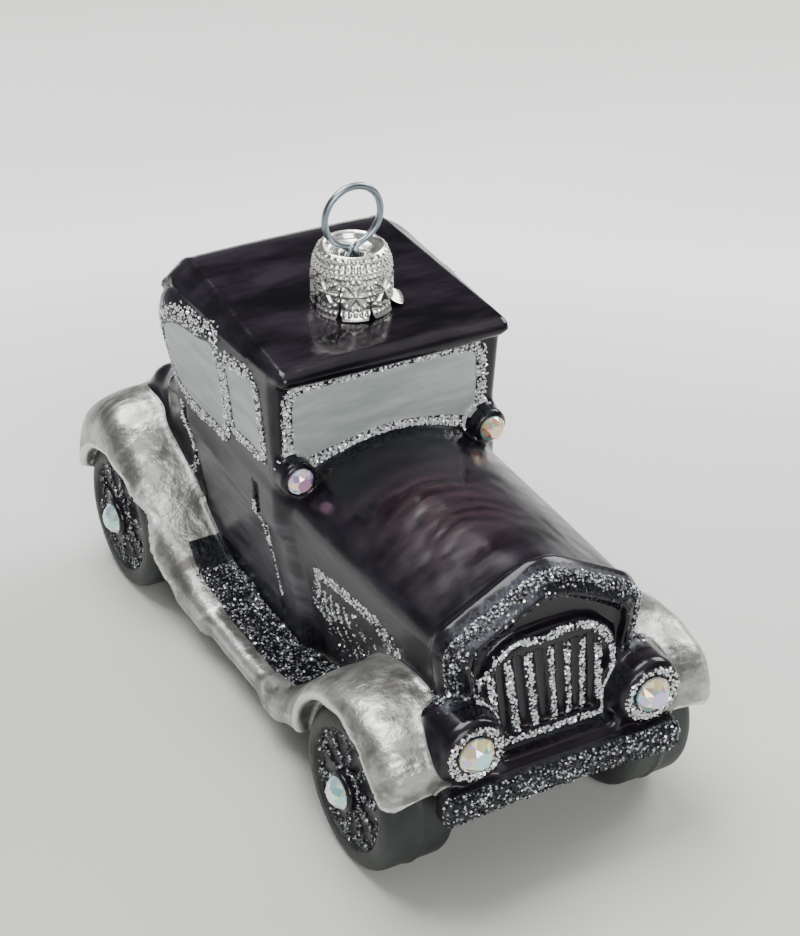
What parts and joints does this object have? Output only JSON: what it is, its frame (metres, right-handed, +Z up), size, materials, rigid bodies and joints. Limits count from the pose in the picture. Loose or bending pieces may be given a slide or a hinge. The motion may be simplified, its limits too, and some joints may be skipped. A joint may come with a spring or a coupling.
{
  "type": "blown glass hanging ornament, vintage coupe",
  "caption": "Hollow blown-glass hanging ornament in the form of a vintage coupe, with moulded wheels, glitter lines, faceted stones, a crown cap and a wire ring.",
  "frame": {"origin": "on the floor, under the middle of the outer box", "axes": "+Z up, -Y towards the car's nose, +X to the car's left-hand side"},
  "size_m": [0.0524, 0.104, 0.0762],
  "materials": {
    "black_lacquer": "gloss lacquer on blown glass",
    "silver_lacquer": "satin pearl lacquer on blown glass",
    "window_lacquer": "satin lacquer",
    "tyre_lacquer": "semi-matte lacquer on blown glass",
    "charcoal_glitter": "holographic glitter in clear adhesive",
    "silver_glitter": "silver glitter in clear adhesive",
    "yellow_stone": "faceted, foil-backed, iridescent coat",
    "rose_stone": "faceted, foil-backed, iridescent coat",
    "mint_stone": "faceted, foil-backed, iridescent coat",
    "tinplate": "bright stamped tinplate",
    "steel_wire": "drawn spring wire"
  },
  "bodies": {
    "car": {"board_glitter_left": "charcoal_glitter", "board_glitter_right": "charcoal_glitter", "body_shell": "black_lacquer", "cowl_lamp_left": "black_lacquer", "cowl_lamp_right": "black_lacquer", "cowl_stone_left": "rose_stone", "cowl_stone_right": "rose_stone", "front_bumper": "charcoal_glitter", "front_door_line_left": "silver_glitter", "front_door_line_right": "silver_glitter", "front_fender_left": "silver_lacquer", "front_fender_right": "silver_lacquer", "front_side_window_left": "window_lacquer", "front_side_window_right": "window_lacquer", "grille": "silver_glitter", "headlamp_left": "black_lacquer", "headlamp_right": "black_lacquer", "headlamp_ring_left": "silver_glitter", "headlamp_ring_right": "silver_glitter", "headlamp_stone_left": "yellow_stone", "headlamp_stone_right": "yellow_stone", "hub_stone_front_left": "mint_stone", "hub_stone_front_right": "mint_stone", "hub_stone_rear_left": "mint_stone", "hub_stone_rear_right": "mint_stone", "louvre_left": "silver_glitter", "louvre_right": "silver_glitter", "radiator_band": "charcoal_glitter", "rear_bumper": "charcoal_glitter", "rear_door_line_left": "silver_glitter", "rear_door_line_right": "silver_glitter", "rear_fender_left": "silver_lacquer", "rear_fender_right": "silver_lacquer", "rear_side_window_left": "window_lacquer", "rear_side_window_right": "window_lacquer", "rear_window": "window_lacquer", "rear_window_frame": "silver_glitter", "running_board_left": "silver_lacquer", "running_board_right": "silver_lacquer", "side_window_frame_left": "silver_glitter", "side_window_frame_right": "silver_glitter", "tyre_front_left": "tyre_lacquer", "tyre_front_right": "tyre_lacquer", "tyre_rear_left": "tyre_lacquer", "tyre_rear_right": "tyre_lacquer", "wheel_glitter_front_left": "charcoal_glitter", "wheel_glitter_front_right": "charcoal_glitter", "wheel_glitter_rear_left": "charcoal_glitter", "wheel_glitter_rear_right": "charcoal_glitter", "windscreen": "window_lacquer", "windscreen_frame": "silver_glitter"},
    "cap": {"crown_cap": "tinplate", "hanger_wire": "steel_wire"}
  },
  "joints": [
    {"name": "cap_turn", "type": "hinge", "parent": "car", "child": "cap", "pos_m": [0, 0.0083, 0.058], "axis": [0, 0, 1], "continuous": true}
  ]
}
